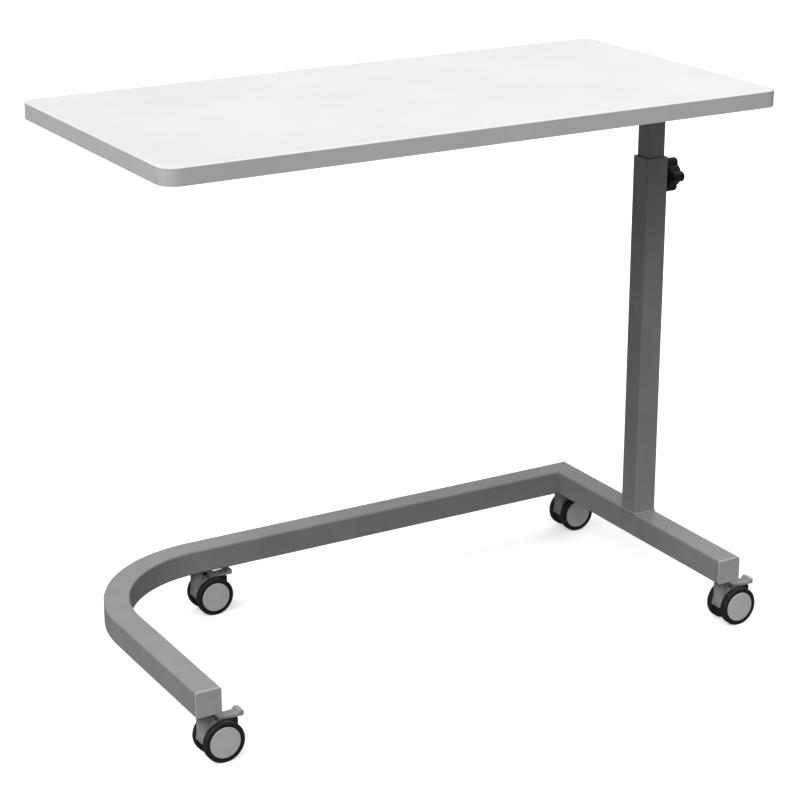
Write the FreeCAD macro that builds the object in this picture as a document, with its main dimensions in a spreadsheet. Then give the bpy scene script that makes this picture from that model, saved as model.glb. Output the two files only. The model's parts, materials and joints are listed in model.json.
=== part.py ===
import FreeCAD, Part
import math
import os
import Sketcher

# Overbed table: a C-shaped wheeled base, a square column at its right-hand rail, a mast that slides in
# the column and is held by a clamp knob, and a tabletop carried on the mast by a beam and two cross bars.
#
# Frame: millimetres, X along the tabletop towards the column, Y across it away from the user, Z up.
# The origin is on the floor, in the middle of the whole object's plan.

DIMENSIONS = (
    ("table_length", 800, "tabletop along X"),
    ("table_depth", 400, "tabletop along Y"),
    ("table_height", 690, "floor to the tabletop's upper face at rest"),
    ("table_thickness", 20, "whole tabletop, with both sheets"),
    ("table_corner", 20, "plan radius of the tabletop's corners"),
    ("band_thickness", 2, "edge band around the panel"),
    ("sheet_thickness", 1, "upper and lower laminate"),
    ("rim_width", 3.5, "sloping rim of the upper laminate"),
    ("rim_drop", 0.8, "fall of that rim"),
    ("tube_width", 32, "square tube of base and column"),
    ("tube_wall", 1.5, "wall of that tube"),
    ("tube_corner", 2.5, "outer corner radius of that tube"),
    ("tube_bore_corner", 1, "inner corner radius of that tube"),
    ("mast_width", 25, "square tube of mast and beam"),
    ("mast_wall", 1.5, "wall of that tube"),
    ("mast_corner", 2, "outer corner radius of that tube"),
    ("mast_bore_corner", 0.8, "inner corner radius of that tube"),
    ("column_length", 480, "column above the base rail"),
    ("mast_length", 480, "mast below the support beam"),
    ("base_length", 760, "base along X, over the tubes"),
    ("base_depth", 395, "base along Y, over the end caps"),
    ("base_inset", 17.5, "tabletop's left edge to the base's left face"),
    ("bend_radius", 158, "centre line of the base's left bend"),
    ("cap_thickness", 3, "head of an end cap"),
    ("cap_tongue", 4.5, "part of an end cap inside its tube"),
    ("cap_wall", 2, "wall of that tongue"),
    ("cap_edge", 0.8, "rounding of a cap's or plug's outer edge"),
    ("cap_bore_corner", 0.5, "inner corner radius of that tongue"),
    ("plug_fit", 0.1, "gap around a pushed-in tongue, each side"),
    ("slide_fit", 0.075, "gap of the sliding mast, each side"),
    ("bush_length", 60, "guide bush in the column's mouth"),
    ("bush_fit", 0.02, "gap around the guide bush, each side"),
    ("foot_head", 5, "guide head on the mast's lower end"),
    ("foot_tongue", 20, "part of that foot inside the mast"),
    ("foot_corner", 1.5, "corner radius of its head"),
    ("beam_length", 560, "support beam under the tabletop"),
    ("beam_plug_head", 2, "head of a beam end plug"),
    ("beam_plug_tongue", 12, "part of that plug inside the beam"),
    ("bar_thickness", 4, "cross bars between beam and tabletop"),
    ("bar_width", 30, "cross bars along X"),
    ("bar_length", 300, "cross bars along Y"),
    ("bar_corner", 5, "plan radius of their corners"),
    ("bar_near_offset", 45, "column axis to the nearer bar"),
    ("bar_far_offset", 500, "column axis to the farther bar"),
    ("screw_inner", 60, "inner screws from the middle"),
    ("screw_outer", 130, "outer screws from the middle"),
    ("screw_radius", 2, "shank of a panel screw"),
    ("screw_head_radius", 4, "head of a panel screw"),
    ("screw_head_height", 2.4, "height of that head"),
    ("screw_head_flat", 2.8, "radius of that head's flat top"),
    ("screw_head_side", 1, "straight side of that head"),
    ("screw_length", 16, "screw from its head to its point"),
    ("screw_point", 4, "tapered end of that length"),
    ("screw_hole_fit", 0.3, "gap around a screw in its bar"),
    ("pilot_fit", 0.05, "gap around a screw in the panel"),
    ("clamp_drop", 27.5, "column's mouth to the clamp axis"),
    ("stud_radius", 4, "M8 clamp stud"),
    ("stud_fit", 0.06, "gap around the stud and its pad"),
    ("stud_hole_fit", 0.4, "gap around the stud in the column wall"),
    ("stud_in_knob", 9, "stud inside the knob"),
    ("boss_radius", 7.5, "threaded boss welded on the column"),
    ("boss_length", 5, "length of that boss"),
    ("boss_bevel", 0.8, "bevel of its outer edge"),
    ("clamp_gap", 0.3, "gap at each end of the clamp pad"),
    ("clamp_pad_thickness", 1.2, "pad between stud and mast"),
    ("knob_gap", 1, "boss to knob, tightened"),
    ("knob_thickness", 17, "star knob along its axis"),
    ("knob_core_radius", 14.8, "knob between its lobes"),
    ("knob_lobe_radius", 6.6, "one lobe"),
    ("knob_reach", 21.8, "knob axis to a lobe's tip"),
    ("knob_lobes", 4, "number of lobes"),
    ("knob_valley", 1.5, "rounding between a lobe and the core"),
    ("knob_rounding", 2.1, "rounding of the knob's edges"),
    ("caster_height", 62, "floor to the underside of the base"),
    ("stem_inset", 16, "front stems from the base's front"),
    ("stem_bend_offset", 180.5, "rear left stem from the base's left face"),
    ("insert_radius", 8, "threaded sleeve in a base tube"),
    ("insert_length", 24, "length of that sleeve"),
    ("insert_fit", 0.05, "gap around that sleeve"),
    ("stem_radius", 5, "caster stem"),
    ("stem_fit", 0.02, "gap around the stem in its sleeve"),
    ("stem_collar_radius", 8, "collar between hood and base"),
    ("stem_collar_gap", 0.3, "hood to that collar"),
    ("stem_end", 2, "stem's end short of its sleeve's end"),
    ("swivel_fit", 0.05, "gap around the stem in its hood"),
    ("swivel_depth", 14, "stem bore in the hood"),
    ("trail", 18, "stem axis to wheel axis"),
    ("wheel_radius", 25, "caster wheel"),
    ("wheel_inner_face", 9, "hood's middle to a wheel's inner face"),
    ("wheel_outer_face", 18.5, "hood's middle to a hub cap's outer face"),
    ("tyre_depth", 5, "tyre, radially"),
    ("tyre_inset", 0.2, "tyre short of the wheel's faces"),
    ("tyre_rounding", 2, "shoulder of the tyre"),
    ("wheel_fit", 0.05, "gap around the axle, and between wheel and tyre"),
    ("hub_cap_radius", 19, "flat hub cap"),
    ("hub_cap_thickness", 2, "its thickness"),
    ("hub_cap_bevel", 0.5, "its bevelled edge"),
    ("axle_radius", 3, "caster axle"),
    ("axle_half_length", 16.2, "axle's end from the hood's middle"),
    ("hood_width", 17, "hood between the two wheels"),
    ("hood_radius", 24.5, "hood's round back, about the axle"),
    ("hood_skirt", 8, "hood below the axle"),
    ("hood_skirt_half", 12, "half length of its lower edge"),
    ("hood_nose", 20.5, "axle to the hood's front end"),
    ("hood_nose_low", 13, "nose's lower end above the axle"),
    ("hood_nose_high", 22.3, "nose's upper end above the axle"),
    ("hood_edge", 0.8, "rounding of the hood's outline"),
    ("hood_top_offset", 6.5, "stem axis to the upper end of the hood's round back"),
    ("neck_radius", 8.5, "hood's neck around the stem"),
    ("neck_start", 30, "floor to the neck's lower end"),
    ("neck_top", 60, "floor to the neck's upper face"),
    ("slot_width", 8.6, "pedal slot in the hood"),
    ("slot_start", 15.5, "stem axis to the slot's blind end"),
    ("slot_floor", 37.5, "floor to the slot's lower face"),
    ("pivot_offset", 20, "stem axis to the pedal's pin"),
    ("pivot_height", 42, "floor to the pedal's pin"),
    ("pin_radius", 1.5, "pedal pin"),
    ("pin_fit", 0.05, "gap around that pin in the pedal"),
    ("pin_end_gap", 0.3, "pin's end inside the hood's face"),
    ("pedal_reach", 48, "stem axis to the pedal's tip"),
    ("pedal_width", 18, "pedal along Y at its tip"),
    ("pedal_heel_width", 9.4, "pedal along Y at its heel"),
    ("pedal_lug_width", 8, "pedal's lug in its slot"),
    ("pedal_lug_radius", 3.2, "lug around the pin"),
    ("pedal_lug_overlap", 0.5, "lug inside the pedal plate"),
    ("pedal_heel", 16, "stem axis to the pedal's heel"),
    ("pedal_bottom", 48.2, "floor to the pedal plate's underside"),
    ("pedal_thickness", 3, "pedal plate"),
    ("paddle_rise", 3.2, "upturned end above the plate"),
    ("paddle_start", 38.5, "stem axis to the upturned end"),
    ("paddle_slope", 3, "length of the slope up to it"),
    ("paddle_rounding", 5, "plan radius of the paddle's corners"),
    ("paddle_edge", 1.8, "bevel of the paddle's upper edge"),
    ("dimple_offset", 33, "stem axis to the pedal's dimple"),
    ("dimple_radius", 2.8, "round dimple in the pedal"),
    ("dimple_depth", 0.9, "its depth"),
)

DOC = FreeCAD.newDocument("overbed_table")
SHEET = DOC.addObject("Spreadsheet::Sheet", "dims")

# Places, as expressions in the sheet's dimensions.
HALF_SPAN = "((dims.base_inset + dims.base_length - dims.tube_width / 2 + dims.pedal_reach) / 2)"
TABLE_X = f"(dims.table_length / 2 - {HALF_SPAN})"
COLUMN_X = f"({HALF_SPAN} - dims.pedal_reach)"
LEG_X = f"(dims.base_inset + dims.tube_width / 2 - {HALF_SPAN})"
BEND_STEM_X = f"(dims.base_inset + dims.stem_bend_offset - {HALF_SPAN})"
FRONT_Y = "(-dims.base_depth / 2)"
STEM_FRONT_Y = f"({FRONT_Y} + dims.stem_inset)"
BACK_RAIL_Y = "(dims.base_depth / 2 - dims.tube_width / 2)"
RAIL_Z = "(dims.caster_height + dims.tube_width / 2)"
RAIL_TOP = "(dims.caster_height + dims.tube_width)"
COLUMN_TOP = f"({RAIL_TOP} + dims.column_length)"
CLAMP_Z = f"({COLUMN_TOP} - dims.clamp_drop)"
PANEL_BOTTOM = "(dims.table_height - dims.table_thickness)"
BAR_BOTTOM = f"({PANEL_BOTTOM} - dims.bar_thickness)"
BEAM_Z = f"({BAR_BOTTOM} - dims.mast_width / 2)"
MAST_TOP = f"({BAR_BOTTOM} - dims.mast_width)"
MAST_BOTTOM = f"({MAST_TOP} - dims.mast_length)"
BEAM_END_X = f"({COLUMN_X} + dims.mast_width / 2)"
BAR_PLACES = (f"({COLUMN_X} - dims.bar_near_offset)", f"({COLUMN_X} - dims.bar_far_offset)")
SCREW_ROWS = ("-dims.screw_outer", "-dims.screw_inner", "dims.screw_inner", "dims.screw_outer")
PAD_X = f"({COLUMN_X} + dims.mast_width / 2 + dims.clamp_gap)"
STUD_X = f"({PAD_X} + dims.clamp_pad_thickness + dims.stud_fit)"
KNOB_X = f"({COLUMN_X} + dims.tube_width / 2 + dims.boss_length + dims.knob_gap)"

# Each caster's name and the place of its stem.
CASTERS = (
    ("front_right", COLUMN_X, STEM_FRONT_Y),
    ("back_right", COLUMN_X, BACK_RAIL_Y),
    ("back_left", BEND_STEM_X, BACK_RAIL_Y),
    ("front_left", LEG_X, STEM_FRONT_Y),
)

# An edge whose box is narrower than this, in millimetres, lies in a plane.
FLAT = 0.01
# A whole circle's box is over this many times its radius wide.
WHOLE_CIRCLE = 1.9

SUB_PARTS = []


# ---------------------------------------------------------------- tools


def fill_sheet():
    """Write every driving dimension to the sheet, one row each."""
    for row, (alias, value, note) in enumerate(DIMENSIONS, start=1):
        SHEET.set(f"A{row}", alias)
        SHEET.set(f"B{row}", str(value))
        SHEET.set(f"C{row}", note)
        SHEET.setAlias(f"B{row}", alias)
    DOC.recompute()


def number(expression):
    """Value of an expression in the sheet's dimensions."""
    return float(SHEET.evalExpression(expression))


def vector(point):
    """Point of a sketch, given as two expressions."""
    return FreeCAD.Vector(number(point[0]), number(point[1]), 0)


def new_body(label, place, sub_part=True):
    """Start a body at a place given as three expressions."""
    body = DOC.addObject("PartDesign::Body", label)
    body.Label = label
    for axis, expression in zip("xyz", place):
        body.setExpression(f"Placement.Base.{axis}", expression)
    if sub_part:
        SUB_PARTS.append(body)
    return body


def new_group(label, pieces):
    """Gather separate bodies in one sub-part."""
    group = DOC.addObject("Part::Compound", label)
    group.Label = label
    group.Links = pieces
    SUB_PARTS.append(group)


def new_sketch(body, role, offset="0"):
    """Start a sketch on one of the body's own origin planes, shifted along its normal."""
    sketch = body.newObject("Sketcher::SketchObject", f"{body.Name}_sketch")
    plane = next(item for item in body.Origin.OriginFeatures if item.Role == role)
    sketch.AttachmentSupport = [(plane, "")]
    sketch.MapMode = "FlatFace"
    sketch.setExpression("AttachmentOffset.Base.z", offset)
    return sketch


def bind(sketch, constraint, expression):
    """Add a constraint whose value follows an expression."""
    index = sketch.addConstraint(constraint)
    sketch.setExpression(f"Constraints[{index}]", expression)


def fix_point(sketch, geometry, end, point):
    """Hold one end of a sketch element at a point given as two expressions."""
    for kind, expression in zip(("DistanceX", "DistanceY"), point):
        constraint = Sketcher.Constraint(kind, -1, 1, geometry, end, number(expression))
        bind(sketch, constraint, expression)


def draw_circle(sketch, radius, center=("0", "0")):
    """Draw a circle."""
    circle = Part.Circle(vector(center), FreeCAD.Vector(0, 0, 1), number(radius))
    index = sketch.addGeometry(circle)
    fix_point(sketch, index, 3, center)
    bind(sketch, Sketcher.Constraint("Radius", index, number(radius)), radius)


def minor_arc(start, end, radius):
    """Arc of under half a turn, anticlockwise from start to end."""
    chord = end - start
    height = math.sqrt(max(radius**2 - (chord.Length / 2) ** 2, 0))
    inward = FreeCAD.Vector(-chord.y, chord.x, 0).normalize()
    center = start + chord / 2 + inward * height
    first = math.atan2(start.y - center.y, start.x - center.x)
    last = math.atan2(end.y - center.y, end.x - center.x)
    circle = Part.Circle(center, FreeCAD.Vector(0, 0, 1), radius)
    return Part.ArcOfCircle(circle, first, last)


def draw_chain(sketch, points, arcs=None, closed=True):
    """Join points with lines, and with anticlockwise arcs where arcs gives a segment's radius."""
    arcs = arcs or {}
    count = len(points) if closed else len(points) - 1
    elements = []
    for step in range(count):
        start = vector(points[step])
        end = vector(points[(step + 1) % len(points)])
        if step in arcs:
            shape = minor_arc(start, end, number(arcs[step]))
        else:
            shape = Part.LineSegment(start, end)
        elements.append(sketch.addGeometry(shape))
    joints = count if closed else count - 1
    for step in range(joints):
        following = elements[(step + 1) % count]
        sketch.addConstraint(Sketcher.Constraint("Coincident", elements[step], 2, following, 1))
    for step, element in enumerate(elements):
        fix_point(sketch, element, 1, points[step])
        if step in arcs:
            bind(sketch, Sketcher.Constraint("Radius", element, number(arcs[step])), arcs[step])
    if not closed:
        fix_point(sketch, elements[-1], 2, points[-1])


def draw_rounded_rectangle(sketch, width, height, corner, center=("0", "0")):
    """Draw a rectangle with round corners around a centre."""
    x, y = center
    right = f"{x} + ({width}) / 2"
    left = f"{x} - ({width}) / 2"
    top = f"{y} + ({height}) / 2"
    bottom = f"{y} - ({height}) / 2"
    points = [
        (right, f"{bottom} + {corner}"),
        (right, f"{top} - {corner}"),
        (f"{right} - {corner}", top),
        (f"{left} + {corner}", top),
        (left, f"{top} - {corner}"),
        (left, f"{bottom} + {corner}"),
        (f"{left} + {corner}", bottom),
        (f"{right} - {corner}", bottom),
    ]
    draw_chain(sketch, points, {step: corner for step in (1, 3, 5, 7)})


def draw_rectangle(sketch, left, right, bottom, top):
    """Draw a plain rectangle between four edges."""
    draw_chain(sketch, [(left, bottom), (right, bottom), (right, top), (left, top)])


def add_feature(body, kind, sketch, length, reverse=False, symmetric=False):
    """Add a pad or pocket of a sketch."""
    feature = body.newObject(f"PartDesign::{kind}", f"{body.Name}_{kind}")
    feature.Profile = sketch
    feature.SideType = "Symmetric" if symmetric else "One side"
    feature.Reversed = reverse
    feature.setExpression("Length", length)
    DOC.recompute()
    return feature


def add_pad(body, sketch, length, reverse=False, symmetric=False):
    """Add material."""
    return add_feature(body, "Pad", sketch, length, reverse, symmetric)


def add_pocket(body, sketch, length, reverse=False, symmetric=False):
    """Take material away, and make sure that some went."""
    before = body.Shape.Volume
    pocket = add_feature(body, "Pocket", sketch, length, reverse, symmetric)
    if body.Shape.Volume >= before:
        raise RuntimeError(f"a pocket in {body.Label} cuts nothing")
    return pocket


def add_turning(body, points):
    """Turn a closed outline in the XZ plane about the Z axis."""
    sketch = new_sketch(body, "XZ_Plane")
    draw_chain(sketch, points)
    turn = body.newObject("PartDesign::Revolution", f"{body.Name}_turning")
    turn.Profile = sketch
    turn.ReferenceAxis = (sketch, ["V_Axis"])
    DOC.recompute()
    return turn


def add_wheel_turning(body, points):
    """Turn a closed outline in the XY plane about the Y axis."""
    sketch = new_sketch(body, "XY_Plane")
    draw_chain(sketch, points)
    turn = body.newObject("PartDesign::Revolution", f"{body.Name}_turning")
    turn.Profile = sketch
    turn.ReferenceAxis = (sketch, ["V_Axis"])
    DOC.recompute()
    return turn


def round_edges(body, feature, wanted, radius):
    """Round the edges of a feature that pass a test."""
    names = [f"Edge{place}" for place, edge in enumerate(feature.Shape.Edges, start=1) if wanted(edge)]
    if not names:
        raise RuntimeError(f"no edge to round in {body.Label}")
    fillet = body.newObject("PartDesign::Fillet", f"{body.Name}_rounding")
    fillet.Base = (feature, names)
    fillet.setExpression("Radius", radius)
    DOC.recompute()
    return fillet


def tube_ring(sketch, width, wall, corner, bore_corner, center=("0", "0")):
    """Draw the section of a square tube."""
    bore = f"({width} - 2 * {wall})"
    draw_rounded_rectangle(sketch, width, width, corner, center)
    draw_rounded_rectangle(sketch, bore, bore, bore_corner, center)


# ---------------------------------------------------------------- tabletop


def draw_panel_outline(sketch, inset="0"):
    """Draw the tabletop's plan, inset all round."""
    draw_rounded_rectangle(
        sketch,
        f"dims.table_length - 2 * {inset}",
        f"dims.table_depth - 2 * {inset}",
        f"(dims.table_corner - {inset})",
    )


def draw_screw_holes(sketch, radius, origin_x):
    """Draw the holes of all the panel screws, in a frame whose X origin is given."""
    for bar_x in BAR_PLACES:
        for row_y in SCREW_ROWS:
            draw_circle(sketch, radius, (f"{bar_x} - {origin_x}", row_y))


def make_tabletop_panel():
    body = new_body("tabletop_panel", (TABLE_X, "0", f"{PANEL_BOTTOM} + dims.sheet_thickness"))
    outline = new_sketch(body, "XY_Plane")
    draw_panel_outline(outline, "dims.band_thickness")
    add_pad(body, outline, "dims.table_thickness - 2 * dims.sheet_thickness")
    pilots = new_sketch(body, "XY_Plane")
    draw_screw_holes(pilots, "dims.screw_radius + dims.pilot_fit", TABLE_X)
    add_pocket(body, pilots, "dims.screw_length - dims.bar_thickness", reverse=True)


def make_upper_laminate():
    """White sheet over panel and band, with a rim that slopes down to its edge."""
    body = new_body("upper_laminate", (TABLE_X, "0", "dims.table_height - dims.sheet_thickness"))
    outline = new_sketch(body, "XY_Plane")
    draw_panel_outline(outline)
    sheet = add_pad(body, outline, "dims.sheet_thickness")
    top = number("dims.sheet_thickness")
    upper_edges = [
        f"Edge{place}"
        for place, edge in enumerate(sheet.Shape.Edges, start=1)
        if min(vertex.Z for vertex in edge.Vertexes) > top / 2
    ]
    rim = body.newObject("PartDesign::Chamfer", "upper_laminate_rim")
    rim.Base = (sheet, upper_edges)
    rim.ChamferType = "Two distances"
    rim.setExpression("Size", "dims.rim_drop")
    rim.setExpression("Size2", "dims.rim_width")
    DOC.recompute()


def make_lower_laminate():
    body = new_body("lower_laminate", (TABLE_X, "0", PANEL_BOTTOM))
    outline = new_sketch(body, "XY_Plane")
    draw_panel_outline(outline, "dims.band_thickness")
    add_pad(body, outline, "dims.sheet_thickness")
    holes = new_sketch(body, "XY_Plane")
    draw_screw_holes(holes, "dims.screw_radius + dims.pilot_fit", TABLE_X)
    add_pocket(body, holes, "2 * dims.sheet_thickness", reverse=True)


def make_edge_band():
    body = new_body("edge_band", (TABLE_X, "0", PANEL_BOTTOM))
    ring = new_sketch(body, "XY_Plane")
    draw_panel_outline(ring)
    draw_panel_outline(ring, "dims.band_thickness")
    add_pad(body, ring, "dims.table_thickness - dims.sheet_thickness")


def make_cross_bars():
    """Two flat steel bars that spread the beam's load over the panel."""
    bars = []
    for count, bar_x in enumerate(BAR_PLACES, start=1):
        body = new_body(f"cross_bar_{count}", (bar_x, "0", BAR_BOTTOM), sub_part=False)
        outline = new_sketch(body, "XY_Plane")
        draw_rounded_rectangle(outline, "dims.bar_width", "dims.bar_length", "dims.bar_corner")
        add_pad(body, outline, "dims.bar_thickness")
        holes = new_sketch(body, "XY_Plane")
        for row_y in SCREW_ROWS:
            draw_circle(holes, "dims.screw_radius + dims.screw_hole_fit", ("0", row_y))
        add_pocket(body, holes, "2 * dims.bar_thickness", reverse=True)
        bars.append(body)
    new_group("cross_bars", bars)


def make_panel_screws():
    """Pan-head screws, up through the bars into the panel."""
    screws = []
    outline = [
        ("0", "-dims.screw_head_height"),
        ("dims.screw_head_flat", "-dims.screw_head_height"),
        ("dims.screw_head_radius", "-dims.screw_head_side"),
        ("dims.screw_head_radius", "0"),
        ("dims.screw_radius", "0"),
        ("dims.screw_radius", "dims.screw_length - dims.screw_point"),
        ("0", "dims.screw_length"),
    ]
    for bar_x in BAR_PLACES:
        for row_y in SCREW_ROWS:
            label = f"panel_screw_{len(screws) + 1}"
            body = new_body(label, (bar_x, row_y, BAR_BOTTOM), sub_part=False)
            add_turning(body, outline)
            screws.append(body)
    new_group("panel_screws", screws)


def make_support_beam():
    """Square tube under the tabletop, welded across the mast's upper end."""
    body = new_body("support_beam", (BEAM_END_X, "0", BEAM_Z))
    section = new_sketch(body, "YZ_Plane")
    tube_ring(section, "dims.mast_width", "dims.mast_wall", "dims.mast_corner", "dims.mast_bore_corner")
    add_pad(body, section, "dims.beam_length", reverse=True)


def make_beam_end_plugs():
    tongue_width = "(dims.mast_width - 2 * dims.mast_wall - 2 * dims.plug_fit)"
    plugs = []
    for name, end_x, outward in (
        ("right", BEAM_END_X, True),
        ("left", f"{BEAM_END_X} - dims.beam_length", False),
    ):
        body = new_body(f"beam_plug_{name}", (end_x, "0", BEAM_Z), sub_part=False)
        head = new_sketch(body, "YZ_Plane")
        draw_rounded_rectangle(head, "dims.mast_width", "dims.mast_width", "dims.mast_corner")
        plate = add_pad(body, head, "dims.beam_plug_head", reverse=not outward)
        face = plate.Shape.BoundBox.XMax if outward else plate.Shape.BoundBox.XMin
        round_edges(
            body,
            plate,
            lambda edge, face=face: abs(edge.CenterOfMass.x - face) < FLAT,
            "dims.cap_edge",
        )
        tongue = new_sketch(body, "YZ_Plane")
        tube_ring(tongue, tongue_width, "dims.cap_wall", "dims.mast_bore_corner", "dims.cap_bore_corner")
        add_pad(body, tongue, "dims.beam_plug_tongue", reverse=outward)
        plugs.append(body)
    new_group("beam_end_plugs", plugs)


# ---------------------------------------------------------------- mast and column


def make_inner_mast():
    body = new_body("inner_mast", (COLUMN_X, "0", MAST_BOTTOM))
    section = new_sketch(body, "XY_Plane")
    tube_ring(section, "dims.mast_width", "dims.mast_wall", "dims.mast_corner", "dims.mast_bore_corner")
    add_pad(body, section, "dims.mast_length")


def make_mast_foot():
    """Plastic foot in the mast's lower end, whose head guides it in the column."""
    body = new_body("mast_foot", (COLUMN_X, "0", MAST_BOTTOM))
    head_width = "(dims.tube_width - 2 * dims.tube_wall - 2 * dims.slide_fit)"
    tongue_width = "(dims.mast_width - 2 * dims.mast_wall - 2 * dims.plug_fit)"
    head = new_sketch(body, "XY_Plane")
    draw_rounded_rectangle(head, head_width, head_width, "dims.foot_corner")
    add_pad(body, head, "dims.foot_head", reverse=True)
    tongue = new_sketch(body, "XY_Plane")
    tube_ring(tongue, tongue_width, "dims.cap_wall", "dims.mast_bore_corner", "dims.cap_bore_corner")
    add_pad(body, tongue, "dims.foot_tongue")


def cut_stud_hole(body, face, radius, depth, height):
    """Drill the clamp's hole through the wall whose outer face is at +X face."""
    hole = new_sketch(body, "YZ_Plane", face)
    draw_circle(hole, radius, ("0", height))
    add_pocket(body, hole, depth)


def make_outer_column():
    body = new_body("outer_column", (COLUMN_X, "0", RAIL_TOP))
    section = new_sketch(body, "XY_Plane")
    tube_ring(section, "dims.tube_width", "dims.tube_wall", "dims.tube_corner", "dims.tube_bore_corner")
    add_pad(body, section, "dims.column_length")
    cut_stud_hole(
        body,
        "dims.tube_width / 2",
        "dims.stud_radius + dims.stud_hole_fit",
        "2 * dims.tube_wall",
        "dims.column_length - dims.clamp_drop",
    )


def make_guide_bush():
    """Plastic sleeve in the column's mouth that the mast slides through."""
    body = new_body("guide_bush", (COLUMN_X, "0", f"{COLUMN_TOP} - dims.bush_length"))
    outside = "(dims.tube_width - 2 * dims.tube_wall - 2 * dims.bush_fit)"
    inside = "(dims.mast_width + 2 * dims.slide_fit)"
    section = new_sketch(body, "XY_Plane")
    draw_rounded_rectangle(section, outside, outside, "dims.tube_corner")
    draw_rounded_rectangle(section, inside, inside, "dims.mast_corner")
    add_pad(body, section, "dims.bush_length")
    cut_stud_hole(
        body,
        f"{outside} / 2",
        "dims.stud_radius + dims.stud_hole_fit",
        f"{outside} - {inside}",
        "dims.bush_length - dims.clamp_drop",
    )


# ---------------------------------------------------------------- clamp


def make_clamp_boss():
    """Threaded boss welded on the column around the stud."""
    body = new_body("clamp_boss", (f"{COLUMN_X} + dims.tube_width / 2", "0", CLAMP_Z))
    ring = new_sketch(body, "YZ_Plane")
    draw_circle(ring, "dims.boss_radius")
    draw_circle(ring, "dims.stud_radius + dims.stud_fit")
    pad = add_pad(body, ring, "dims.boss_length")
    reach = number("dims.boss_length")
    rim = number("dims.boss_radius")
    edges = [
        f"Edge{place}"
        for place, edge in enumerate(pad.Shape.Edges, start=1)
        if edge.BoundBox.XMin > reach / 2 and edge.BoundBox.YLength > WHOLE_CIRCLE * rim
    ]
    bevel = body.newObject("PartDesign::Chamfer", "clamp_boss_bevel")
    bevel.Base = (pad, edges)
    bevel.setExpression("Size", "dims.boss_bevel")
    DOC.recompute()


def make_clamp_pad():
    """Small disc that the stud presses on the mast."""
    body = new_body("clamp_pad", (PAD_X, "0", CLAMP_Z))
    disc = new_sketch(body, "YZ_Plane")
    draw_circle(disc, "dims.stud_radius")
    add_pad(body, disc, "dims.clamp_pad_thickness")


def make_clamp_stud():
    body = new_body("clamp_stud", (STUD_X, "0", CLAMP_Z))
    section = new_sketch(body, "YZ_Plane")
    draw_circle(section, "dims.stud_radius")
    add_pad(body, section, f"{KNOB_X} + dims.stud_in_knob - {STUD_X}")


def make_clamp_knob():
    """Star knob moulded on the stud, one lobe towards the user."""
    body = new_body("clamp_knob", (KNOB_X, "0", CLAMP_Z))
    core = new_sketch(body, "YZ_Plane")
    draw_circle(core, "dims.knob_core_radius")
    add_pad(body, core, "dims.knob_thickness")
    lobe = new_sketch(body, "YZ_Plane")
    draw_circle(lobe, "dims.knob_lobe_radius", ("dims.knob_lobe_radius - dims.knob_reach", "0"))
    lobe_pad = add_pad(body, lobe, "dims.knob_thickness")
    star = body.newObject("PartDesign::PolarPattern", "clamp_knob_star")
    star.Originals = [lobe_pad]
    star.Axis = (lobe, ["N_Axis"])
    star.Angle = 360
    star.setExpression("Occurrences", "dims.knob_lobes")
    body.Tip = star
    DOC.recompute()
    core_radius = number("dims.knob_core_radius")
    valleys = round_edges(
        body,
        star,
        lambda edge: edge.BoundBox.XLength > FLAT
        and abs(math.hypot(edge.CenterOfMass.y, edge.CenterOfMass.z) - core_radius) < FLAT,
        "dims.knob_valley",
    )
    round_edges(body, valleys, lambda edge: edge.BoundBox.XLength < FLAT, "dims.knob_rounding")
    bore = new_sketch(body, "YZ_Plane")
    draw_circle(bore, "dims.stud_radius + dims.stem_fit")
    add_pocket(body, bore, "dims.stud_in_knob", reverse=True)


# ---------------------------------------------------------------- base


def cut_sleeve_holes(body, places, body_x, body_y, bottom):
    """Bore the lower wall of a base tube for the caster sleeves."""
    for stem_x, stem_y in places:
        hole = new_sketch(body, "XY_Plane", bottom)
        center = (f"{stem_x} - {body_x}", f"{stem_y} - {body_y}")
        draw_circle(hole, "dims.insert_radius + dims.insert_fit", center)
        add_pocket(body, hole, "2 * dims.tube_wall", reverse=True)


def cut_mitre(body, corners, above):
    """Cut the mitred end of a base tube, given the cut's plan as three corners."""
    triangle = new_sketch(body, "XY_Plane", above)
    draw_chain(triangle, corners)
    add_pocket(body, triangle, "2 * dims.tube_width")


def make_column_rail():
    """Right-hand rail, which carries the column and meets the curved rail in a mitre."""
    back = "(dims.base_depth / 2)"
    body = new_body("column_rail", (COLUMN_X, back, RAIL_Z))
    section = new_sketch(body, "XZ_Plane")
    tube_ring(section, "dims.tube_width", "dims.tube_wall", "dims.tube_corner", "dims.tube_bore_corner")
    add_pad(body, section, "dims.base_depth - dims.cap_thickness")
    corners = [
        ("dims.tube_width / 2", "0"),
        ("-dims.tube_width / 2", "0"),
        ("-dims.tube_width / 2", "-dims.tube_width"),
    ]
    cut_mitre(body, corners, "dims.tube_width")
    places = ((COLUMN_X, STEM_FRONT_Y), (COLUMN_X, BACK_RAIL_Y))
    cut_sleeve_holes(body, places, COLUMN_X, back, "-dims.tube_width / 2")


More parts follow.
